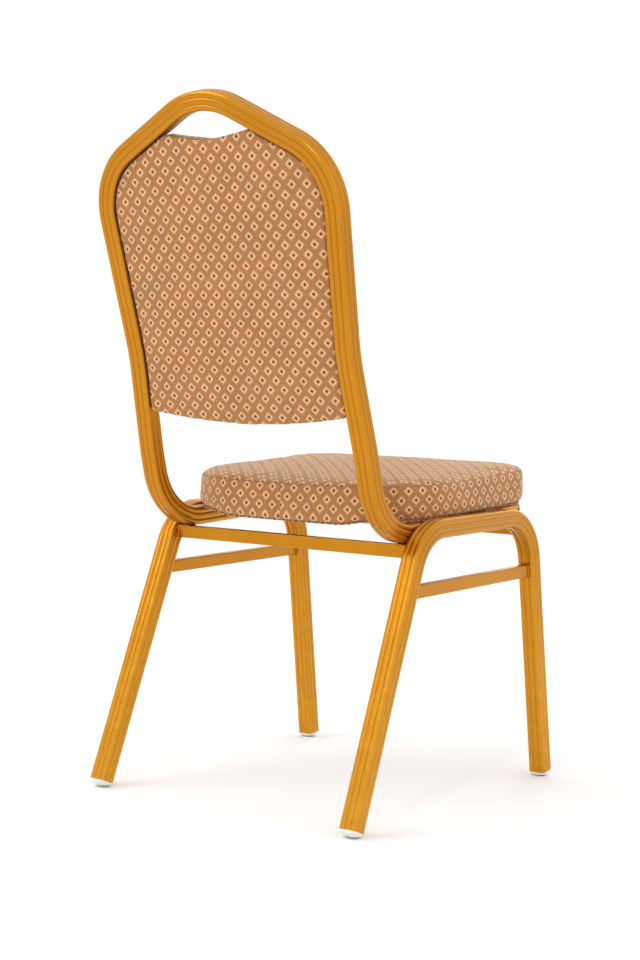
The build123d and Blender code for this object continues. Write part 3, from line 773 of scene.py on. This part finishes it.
X_WAY = Vector((1, 0, 0))
SEAT_AXES = (SEAT_ORIGIN, X_WAY, SEAT_BACKWARD, SEAT_UP)
BACK_AXES = (BACK_ORIGIN, X_WAY, UP_BACK, FRONTWARD)


def seat_outline(grow, step=5 * MM):
    """Plan of the seat as points, anticlockwise from the middle of its rear edge."""
    half = BOARD_HALF + grow
    rear, front = BOARD_REAR + grow, BOARD_FRONT - grow
    rear_r, front_r = BOARD_REAR_R + grow, BOARD_FRONT_R + grow
    plan = ((0, rear), (-half, rear), (-half, front), (half, front), (half, rear), (0, rear))
    corners = [Vector((*p, 0)) for p in plan]
    places, _ = rounded_line(corners, [rear_r, front_r, front_r, rear_r], step / front_r)
    return even_points([(p.x, p.y) for p in places], step)


def even_points(points, step):
    """The same closed line with evenly spaced points; the last isn't repeated."""
    line = np.array(points)
    if np.linalg.norm(line[0] - line[-1]) > 1e-7:
        line = np.vstack([line, line[:1]])
    lengths = np.concatenate([[0], np.cumsum(np.linalg.norm(np.diff(line, axis=0), axis=1))])
    count = int(round(lengths[-1] / step))
    marks = np.linspace(0, lengths[-1], count, endpoint=False)
    return np.stack([np.interp(marks, lengths, line[:, k]) for k in (0, 1)], 1)


def loop_inside(shrink):
    """Inside of the back loop, this far in from its tube, as points of the leaning plane."""
    places, ways = rounded_line([Vector((*p, 0)) for p in loop_points()], LOOP_RADII, radians(1.5))
    inset = TUBE / 2 + PANEL_GAP + shrink
    return [(p.x + w.y * inset, p.y - w.x * inset) for p, w in zip(places, ways)]


def panel_outline(shrink, step=5 * MM):
    """Outline of the back panel: the loop's inside, an arched bottom and the notch of the hand-hold."""
    def floor_height(w):
        return PANEL_BOTTOM_H + shrink + PANEL_BOTTOM_R - sqrt(PANEL_BOTTOM_R ** 2 - w * w)

    def notch_height(w):
        soft = 5 * MM
        return NOTCH_H - shrink + NOTCH_SLOPE * (sqrt(w * w + soft * soft) - soft)

    dense = even_points(loop_inside(shrink), 0.5 * MM)
    kept = [(w, h) for w, h in dense if h >= floor_height(w) - 1e-6 and h <= notch_height(w) + 1e-6 and h > 0]
    left = [p for p in kept if p[0] < 0]
    right = [p for p in kept if p[0] > 0]
    left.sort(key=lambda p: p[1])
    right.sort(key=lambda p: -p[1])
    top = [(w, notch_height(w)) for w in np.linspace(left[-1][0], right[0][0], 60)[1:-1]]
    low = [(w, floor_height(w)) for w in np.linspace(right[-1][0], left[0][0], 120)[1:-1]]
    return even_points(left + top + right + low, step)


def inset_loop(points, distance):
    """A closed line moved inwards."""
    ahead = np.roll(points, -1, 0) - np.roll(points, 1, 0)
    ahead /= np.linalg.norm(ahead, axis=1)[:, None]
    inward = np.stack([ahead[:, 1], -ahead[:, 0]], 1)
    area = np.sum(points[:, 0] * np.roll(points[:, 1], -1) - np.roll(points[:, 0], -1) * points[:, 1])
    return points + inward * distance * (-1 if area > 0 else 1)


def loaf(name, outline, low, high, edge_r, axes, low_r=2 * MM):
    """Closed pad: straight sides on an outline, a rounded upper edge and a small lower one."""
    low_turn = [pi / 2 * step / 3 for step in range(4)]
    high_turn = [pi / 2 * step / 8 for step in range(9)]
    rings = [(low_r * (1 - sin(a)), low + low_r * (1 - cos(a))) for a in low_turn]
    rings += [(0, level) for level in np.linspace(low + low_r, high - edge_r, 8)[1:-1]]
    rings += [(edge_r * (1 - cos(a)), high - edge_r + edge_r * sin(a)) for a in high_turn]
    rows, count = [], len(outline)
    for inset, level in rings:
        moved = inset_loop(outline, inset)
        rows.append(np.column_stack([moved, np.full(count, level)]))
    rows = from_plane(np.vstack(rows), *axes)
    faces = skin(len(rings), count)
    faces.append(tuple(range(count)))
    top = (len(rings) - 1) * count
    faces.append(tuple(range(top, top + count)))
    pad = new_object(name, rows, faces)
    outward(pad)
    return pad


def read_points(obj):
    points = np.empty(len(obj.data.vertices) * 3)
    obj.data.vertices.foreach_get("co", points)
    return points.reshape(-1, 3)


def write_points(obj, points):
    obj.data.vertices.foreach_set("co", points.ravel())
    obj.data.update()


def apply_modifiers(obj):
    """Bake the modifiers into the mesh."""
    depsgraph = bpy.context.evaluated_depsgraph_get()
    mesh = bpy.data.meshes.new_from_object(obj.evaluated_get(depsgraph))
    obj.modifiers.clear()
    obj.data = mesh


def remesh(obj, voxel):
    change = obj.modifiers.new("remesh", "REMESH")
    change.mode = "VOXEL"
    change.voxel_size = voxel
    apply_modifiers(obj)


CLOTH = dict(quality=5, mass=0.3, tension_stiffness=15, compression_stiffness=15, shear_stiffness=8,
             bending_stiffness=0.8, use_pressure=True, vertex_group_mass="pin")


def inflate(obj, pinned, cap, pressure=4.0, frames=20):
    """Blow the pad up as cloth, hold the pinned points, and cap how far any point may move."""
    start = read_points(obj)
    group = obj.vertex_groups.new(name="pin")
    group.add([int(i) for i in np.nonzero(pinned)[0]], 1.0, "REPLACE")
    cloth = obj.modifiers.new("cloth", "CLOTH")
    for key, value in {**CLOTH, "uniform_pressure_force": pressure}.items():
        setattr(cloth.settings, key, value)
    cloth.settings.effector_weights.gravity = 0
    cloth.collision_settings.use_collision = False
    cloth.point_cache.frame_end = frames
    scene = bpy.context.scene
    for number in range(1, frames + 1):
        scene.frame_set(number)
    apply_modifiers(obj)
    scene.frame_set(1)
    obj.vertex_groups.clear()
    moved = read_points(obj) - start
    far = np.linalg.norm(moved, axis=1, keepdims=True)
    limit = cap * np.tanh(far / cap)
    write_points(obj, start + moved * limit / np.maximum(far, 1e-9))


def smooth_points(obj, factor, rounds):
    """Move each point towards the middle of its neighbours, by this share, so many times."""
    edges = np.empty(len(obj.data.edges) * 2, np.int64)
    obj.data.edges.foreach_get("vertices", edges)
    edges = edges.reshape(-1, 2)
    points = read_points(obj)
    degree = np.bincount(edges.ravel(), minlength=len(points))[:, None]
    for _ in range(rounds):
        total = np.zeros_like(points)
        np.add.at(total, edges[:, 0], points[edges[:, 1]])
        np.add.at(total, edges[:, 1], points[edges[:, 0]])
        points += (total / np.maximum(degree, 1) - points) * factor
    write_points(obj, points)


def subdivide(obj):
    change = obj.modifiers.new("subdivide", "SUBSURF")
    change.levels = change.render_levels = 1
    apply_modifiers(obj)


def clear_tubes(obj, gap):
    """Press the pad's skin back from any tube that it would enter."""
    frames = []
    for tube in TUBES:
        for (a, p, q), (b, _, _) in zip(tube.frames, tube.frames[1:]):
            steps = max(1, int((b - a).length / (4 * MM)))
            for step in range(steps):
                frames.append((a.lerp(b, step / steps), p, q))
    tree = KDTree(len(frames))
    for index, (place, _, _) in enumerate(frames):
        tree.insert(place, index)
    tree.balance()
    points = read_points(obj)
    half = TUBE / 2 + gap
    for index, point in enumerate(points):
        _, nearest, distance = tree.find(Vector(point))
        if distance > half * 1.5:
            continue
        place, p, q = frames[nearest]
        rel = Vector(point) - place
        a, b = rel.dot(p), rel.dot(q)
        if abs(a) < half and abs(b) < half:
            if half - abs(a) < half - abs(b):
                points[index] += np.array(p) * ((half if a > 0 else -half) - a)
            else:
                points[index] += np.array(q) * ((half if b > 0 else -half) - b)
    write_points(obj, points)


def store(obj, name, values, lap=0.0):
    """Store one vector per point; a lap length mends the one column where a round trip ends."""
    layer = obj.data.attributes.new(name, "FLOAT_VECTOR", "CORNER")
    corner_point = np.empty(len(obj.data.loops), np.int64)
    obj.data.loops.foreach_get("vertex_index", corner_point)
    values = values[corner_point].copy()
    if lap:
        sizes = np.empty(len(obj.data.polygons), np.int64)
        obj.data.polygons.foreach_get("loop_total", sizes)
        face_of = np.repeat(np.arange(len(sizes)), sizes)
        high = np.full(len(sizes), -1e9)
        np.maximum.at(high, face_of, values[:, 0])
        values[:, 0] += np.where(high[face_of] - values[:, 0] > lap / 2, lap, 0)
    layer.data.foreach_set("vector", values.ravel())


class Outline:
    """Nearest places on a closed line, with how far round it they are."""

    def __init__(self, points):
        self.points = points
        gaps = np.linalg.norm(np.roll(points, -1, 0) - points, axis=1)
        self.marks = np.concatenate([[0], np.cumsum(gaps)[:-1]])
        ahead = np.roll(points, -1, 0)
        self.turn = 1 if np.sum(points[:, 0] * ahead[:, 1] - ahead[:, 0] * points[:, 1]) > 0 else -1
        self.tree = KDTree(len(points))
        for index, (x, y) in enumerate(points):
            self.tree.insert((x, y, 0), index)
        self.tree.balance()

    def read(self, rows):
        """For rows of (across, along): how far round the line each lies, and how far out of it."""
        count = len(self.points)
        near = np.array([self.tree.find((x, y, 0))[1] for x, y in rows[:, :2]])
        ahead = self.points[(near + 1) % count] - self.points[near - 1]
        ahead /= np.linalg.norm(ahead, axis=1)[:, None]
        rel = rows[:, :2] - self.points[near]
        on = np.sum(rel * ahead, axis=1)
        normal = np.stack([ahead[:, 1], -ahead[:, 0]], 1) * self.turn
        out = np.sum(rel * normal, axis=1)
        return self.marks[near] + on, out


def wrap_cloth(obj, outline, axes, inset, middle):
    """Give a covered pad its cloth: flat over its face, a strip round its sides, a seam between.

    A point's distance over the cloth is read from the pad's own average profile round a line
    that lies well inside the outline."""
    rows = to_plane(read_points(obj), *axes)
    edge = Outline(outline)
    core = inset_loop(outline, inset)
    clear = np.array([edge.tree.find((x, y, 0))[2] for x, y in core])
    _, out = Outline(core[clear > inset * 0.97]).read(rows)
    marks, _ = edge.read(rows)
    out = np.maximum(out, 0)
    angle = np.arctan2(out, rows[:, 2] - middle)
    reach = np.hypot(out, rows[:, 2] - middle)
    limits = np.linspace(0, pi, 61)
    centres = (limits[1:] + limits[:-1]) / 2
    which = np.clip(np.digitize(angle[out > 0], limits) - 1, 0, 59)
    total = np.bincount(which, reach[out > 0], 60)
    found = np.bincount(which, minlength=60)
    radius = np.interp(centres, centres[found > 0], (total / np.maximum(found, 1))[found > 0])
    profile = np.stack([radius * np.sin(centres), radius * np.cos(centres)], 1)
    paces = np.diff(profile, axis=0)
    along = np.cumsum(np.linalg.norm(paces, axis=1))
    distance = np.concatenate([[profile[0, 0]], profile[0, 0] + along])
    steep = np.arctan2(-paces[:, 1], paces[:, 0]) > radians(48)
    seam_at = distance[np.argmax(steep & (centres[1:] > radians(20)))]
    over = np.where(out > 0, np.interp(angle, centres, distance), 0)
    length = np.linalg.norm(np.roll(outline, -1, 0) - outline, axis=1).sum()
    store(obj, "cloth", np.column_stack([rows[:, :2], over - seam_at]))
    store(obj, "strip", np.column_stack([marks, MOTIF_HIGH / 4 - (over - seam_at), over * 0]), length)


# ---- seat cushion
def droop(rows):
    """How far the cover sags below the board at each place: behind the board, between the runs."""
    behind = np.clip((rows[:, 1] - DROOP_FROM) / DROOP_REACH, 0, 1)
    between = np.clip((RUN_X - TUBE / 2 - np.abs(rows[:, 0])) / DROOP_SIDE, 0, 1)
    return DROOP * behind * behind * (3 - 2 * behind) * between * between * (3 - 2 * between)


seat_line = seat_outline(COVER_GROW - SHY)
seat = loaf("seat_cushion", seat_line, 0.6 * MM, COVER_TOP - SHY, SEAT_EDGE_R, SEAT_AXES,
            low_r=SEAT_LOW_R)
remesh(seat, PAD_VOXEL)
seat_rows = to_plane(read_points(seat), *SEAT_AXES)
MIDDLE_V = (BOARD_REAR + BOARD_FRONT) / 2
bow_across = 1 - np.clip(seat_rows[:, 0] / CROWN_HALF, -1, 1) ** 2
bow_along = 1 - np.clip((seat_rows[:, 1] - MIDDLE_V) / CROWN_HALF_LONG, -1, 1) ** 2
near_top = np.clip(seat_rows[:, 2] / (COVER_TOP - SHY), 0, 1) ** 3
seat_rows[:, 2] += near_top * (SEAT_CROWN * (bow_across * bow_along) - EDGE_SINK)
write_points(seat, from_plane(seat_rows, *SEAT_AXES))
inflate(seat, seat_rows[:, 2] < 1.4 * MM, cap=SEAT_CAP)
smooth_points(seat, 0.4, 2)
subdivide(seat)
seat_rows = to_plane(read_points(seat), *SEAT_AXES)
seat_rows[:, 2] -= droop(seat_rows) * (1 - np.clip(seat_rows[:, 2] / DROOP_HEIGHT, 0, 1)) ** 1.5
write_points(seat, from_plane(seat_rows, *SEAT_AXES))
clear_tubes(seat, 0.6 * MM)
smooth_points(seat, 0.3, 1)
seat.data.materials.append(FABRIC)
seat.data.shade_smooth()
wrap_cloth(seat, seat_outline(COVER_GROW, 2 * MM), SEAT_AXES, 32 * MM, 28 * MM)
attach(seat, "root")
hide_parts("seat_cover", "seat_foam")

# ---- the cover's hem, turned under the board
def hem_ring():
    """A band of the cover's cloth under the board's edge, with small gathers."""
    outer_line = seat_outline(COVER_GROW - SHY - HEM_IN, 4 * MM)
    widths = np.linspace(0, HEM_WIDTH - HEM_IN, 8)
    rings = [(w, HEM_TOP) for w in widths] + [(w, HEM_UNDERSIDE) for w in widths[::-1]]
    count, rows = len(outer_line), []
    for inset, level in rings:
        moved = inset_loop(outer_line, inset)
        gather = HEM_GATHER * np.sin(np.arange(count) * 1.7) * MM * (inset / HEM_WIDTH)
        rows.append(np.column_stack([moved, level + (gather if level == HEM_UNDERSIDE else 0 * gather)]))
    rows = np.vstack(rows)
    rows[:, 2] -= droop(rows)
    faces = skin(len(rings), count, looped=True)
    hem = new_object("seat_hem", from_plane(rows, *SEAT_AXES), faces, FABRIC)
    outward(hem)
    clear_tubes(hem, 0.4 * MM)
    keep_edges(hem, 60)
    marks, _ = Outline(seat_outline(COVER_GROW, 2 * MM)).read(rows)
    length = np.linalg.norm(np.roll(outer_line, -1, 0) - outer_line, axis=1).sum()
    inset = np.repeat([w for w, _ in rings], count)
    store(hem, "cloth", np.column_stack([rows[:, :2], inset * 0 + 1]))
    store(hem, "strip", np.column_stack([marks, -inset, inset * 0]), length)
    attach(hem, "root")


hem_ring()


# ---- the dust cover: a thin black cloth stretched under the board and stapled round its edge
def dust_sheet():
    """Rounded rectangle of thin cloth that sags a little and is pulled in at its staples."""
    pace = 3 * MM
    wide, long = round(2 * DUST_HALF / pace), round(2 * DUST_HALF_LONG / pace)
    verts = []
    for i in range(wide + 1):
        for j in range(long + 1):
            x = -DUST_HALF + 2 * DUST_HALF * i / wide
            y = -DUST_HALF_LONG + 2 * DUST_HALF_LONG * j / long
            over_x = abs(x) - (DUST_HALF - DUST_CORNER_R)
            over_y = abs(y) - (DUST_HALF_LONG - DUST_CORNER_R)
            if over_x > 0 and over_y > 0:
                share = max(over_x, over_y) / max(sqrt(over_x * over_x + over_y * over_y), 1e-9)
                x -= over_x * (1 - share) * (1 if x > 0 else -1)
                y -= over_y * (1 - share) * (1 if y > 0 else -1)
            edge = min(DUST_HALF - abs(x), DUST_HALF_LONG - abs(y))
            sag = DUST_SAG * (1 - (x / DUST_HALF) ** 2) * (1 - (y / DUST_HALF_LONG) ** 2)
            near = max(0.0, 1 - edge / (26 * MM))
            round_edge = x if abs(y) > abs(x) else y
            pull = DUST_PULL * near * (1 - cos(2 * pi * round_edge / DUST_STAPLE_PITCH))
            drift = DUST_DRIFT * noise.noise(Vector((x * 22, y * 22, 9.0))) * min(1.0, edge / (20 * MM))
            level = DUST_LEVEL - sag - pull * min(1.0, edge / DUST_STAPLE_IN) + drift
            verts.append(seat_world(x, DUST_MIDDLE + y, level))
    row = long + 1
    corners = [i * row + j for i in range(wide) for j in range(long)]
    faces = [(at, at + row, at + row + 1, at + 1) for at in corners]
    sheet = new_object("dust_sheet", verts, faces, DUST)
    thick = sheet.modifiers.new("thick", "SOLIDIFY")
    thick.thickness = DUST_THICK
    thick.offset = 0
    apply_modifiers(sheet)
    sheet.data.shade_smooth()
    keep_edges(sheet, 60)
    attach(sheet, "root")
    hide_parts("seat_dust_cover")


def dust_staples():
    """Wire staples round the dust cover: a crown with its two bent shoulders."""
    verts, faces = [], []
    places = [n * DUST_STAPLE_PITCH for n in range(-3, 4)]
    wide, long = DUST_HALF - DUST_STAPLE_IN, DUST_HALF_LONG - DUST_STAPLE_IN
    spots = [(place, end, 0) for place in places for end in (long, -long)]
    spots += [(end, place, 1) for place in places for end in (wide, -wide)]
    half = STAPLE_HALF
    bend = [(-half, 0.9), (-half, 0.1), (-4.6, -0.25), (4.6, -0.25), (half, 0.1), (half, 0.9)]
    sides = 8
    for x, y, turned in spots:
        base = len(verts)
        for along, rise in bend:
            for side in range(sides):
                angle = 2 * pi * side / sides
                across, lift = STAPLE_WIDE * cos(angle), STAPLE_THICK * sin(angle)
                if abs(along) == half:
                    step = (along + lift * (1 if along > 0 else -1), across, rise)
                else:
                    step = (along, across, rise - lift)
                du, dv = (step[1], step[0]) if turned else (step[0], step[1])
                verts.append(seat_world(x + du * MM, DUST_MIDDLE + y + dv * MM,
                                        STAPLE_LEVEL + step[2] * MM))
        faces += skin(len(bend), sides, start=base)
        faces.append(tuple(base + side for side in range(sides))[::-1])
        last = base + (len(bend) - 1) * sides
        faces.append(tuple(last + side for side in range(sides)))
    staples = new_object("dust_staples", verts, faces, ZINC)
    outward(staples)
    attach(staples, "root")


dust_sheet()
dust_staples()

# ---- front pad of the back
front_line = panel_outline(-0.3 * MM)
front_pad = loaf("back_front_pad", front_line, FRONT_PAD[0] - 1 * MM, FRONT_PAD[1] - SHY,
                 FRONT_PAD_EDGE_R, BACK_AXES)
remesh(front_pad, PAD_VOXEL)
front_rows = to_plane(read_points(front_pad), *BACK_AXES)
inflate(front_pad, front_rows[:, 2] < 9 * MM, cap=BACK_CAP)
smooth_points(front_pad, 0.4, 3)
subdivide(front_pad)
clear_tubes(front_pad, 0.5 * MM)
front_pad.data.materials.append(FABRIC)
front_pad.data.shade_smooth()
wrap_cloth(front_pad, panel_outline(0, 2 * MM), BACK_AXES, 20 * MM, 20 * MM)
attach(front_pad, "root")
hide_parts("back_front_cover", "back_foam")


# ---- rear panel: thin padding over hardboard, so it is nearly flat
def rear_panel():
    """Thin covered panel, domed a little, with small pulls towards its lower corners."""
    outline = panel_outline(0, 3 * MM)
    axes = (BACK_ORIGIN, X_WAY, UP_BACK, FRONTWARD * -1)
    pad = loaf("rear_panel_pad", outline, -REAR_PAD[1], -REAR_PAD[0], PANEL_EDGE_R, axes, low_r=0.5 * MM)
    remesh(pad, PANEL_VOXEL)
    smooth_points(pad, 0.4, 2)
    rows = to_plane(read_points(pad), *axes)
    _, out = Outline(outline).read(rows)
    depth = np.clip(np.abs(out) / PANEL_DOME_REACH, 0, 1)
    outer = rows[:, 2] > -REAR_PAD[0] - 3.0 * MM
    rows[:, 2] += np.where(outer, PANEL_DOME * np.sin(depth * pi / 2), 0)
    for index, (w, h, level) in enumerate(rows):
        if not outer[index]:
            continue
        for corner in (-1, 1):
            reach = Vector((w - corner * PULL_X, h - PULL_H))
            distance = reach.length
            if distance < PULL_REACH:
                angle = np.arctan2(reach.y, -corner * reach.x)
                fade = (1 - distance / PULL_REACH) ** 1.5 * min(1.0, distance / (14 * MM))
                rows[index, 2] += PULL_HEIGHT * fade * sin(angle * 11 + corner)
        drift = noise.noise(Vector((w * 14, h * 14, 3.0)))
        rows[index, 2] += PANEL_DRIFT * drift
    write_points(pad, from_plane(rows, *axes))
    pad.data.materials.append(FABRIC)
    pad.data.shade_smooth()
    shift, lift = PANEL_PHASE
    store(pad, "cloth", np.column_stack([rows[:, 0] - shift, rows[:, 1] + lift, rows[:, 2] * 0 - 1]))
    return pad


rear_pad = rear_panel()
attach(rear_pad, "root")
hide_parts("rear_panel_cover", "rear_panel_padding")


# ---- CAD nodes that stay
def paint_frame_nodes():
    """Give every CAD node that stays the material of its slot."""
    slots = {row["node"]: row["material_slot"] for row in frame["record"]["subparts"]}
    for name, obj in frame["nodes"].items():
        material = SLOT_MATERIALS[slots[name]]
        obj.data.materials.clear()
        obj.data.materials.append(material)


paint_frame_nodes()


# ---- Floor, light and camera
def make_floor():
    corners = [(-6, -6, 0), (6, -6, 0), (6, 6, 0), (-6, 6, 0)]
    floor = new_object("floor", corners, [(0, 1, 2, 3)], smooth=False)
    n = Nodes("pale_floor")
    n.drive("Base Color", n.ramp(n.noise(n.place(), 3, 2), ((0.3, (0.93,) * 3), (0.7, (0.95,) * 3))))
    n.set(Roughness=0.9)
    floor.data.materials.append(n.material)


def area_light(name, place, target, size, power):
    light = bpy.data.lights.new(name, "AREA")
    light.shape = "RECTANGLE"
    light.size, light.size_y = size
    light.energy = power
    obj = bpy.data.objects.new(name, light)
    obj.location = place
    obj.rotation_euler = (Vector(target) - Vector(place)).to_track_quat("-Z", "Y").to_euler()
    bpy.context.scene.collection.objects.link(obj)


def make_light():
    world = bpy.data.worlds.new("studio")
    world.use_nodes = True
    world.node_tree.nodes["Background"].inputs[0].default_value = (1, 1, 1, 1)
    world.node_tree.nodes["Background"].inputs[1].default_value = 1.05
    bpy.context.scene.world = world
    area_light("key", (1.5, 1.7, 2.9), (0, 0, 0.5), (1.6, 2.0), 23)
    area_light("fill", (-2.6, 0.8, 1.6), (0, 0, 0.5), (1.6, 2.0), 4)
    area_light("glint", (-0.9, 3.0, 2.4), (0, 0, 0.6), (0.35, 0.5), 9)
    area_light("front", (0.6, -2.6, 1.9), (0, 0, 0.5), (1.6, 1.6), 12)


def make_camera():
    """The viewing angle: from behind the sitter's right, a little above the seat."""
    azimuth, pitch, roll = radians(215.432), radians(3.15), radians(1.626)
    back = Vector((sin(azimuth) * cos(pitch), -cos(azimuth) * cos(pitch), sin(pitch)))
    right = (-back).cross(Vector((0, 0, 1))).normalized()
    up = right.cross(-back)
    turned_right = right * cos(roll) + up * sin(roll)
    turned_up = up * cos(roll) - right * sin(roll)
    camera = bpy.data.cameras.new("camera")
    camera.sensor_width = 36
    camera.lens = 67.37
    obj = bpy.data.objects.new("camera", camera)
    matrix = Matrix((turned_right, turned_up, back)).transposed().to_4x4()
    matrix.translation = Vector((-1.4336, 2.0666 - ORIGIN_Y, 0.5612))
    obj.matrix_world = matrix
    bpy.context.scene.collection.objects.link(obj)
    bpy.context.scene.camera = obj


make_floor()
make_light()
make_camera()
bpy.context.scene.view_settings.view_transform = "Standard"
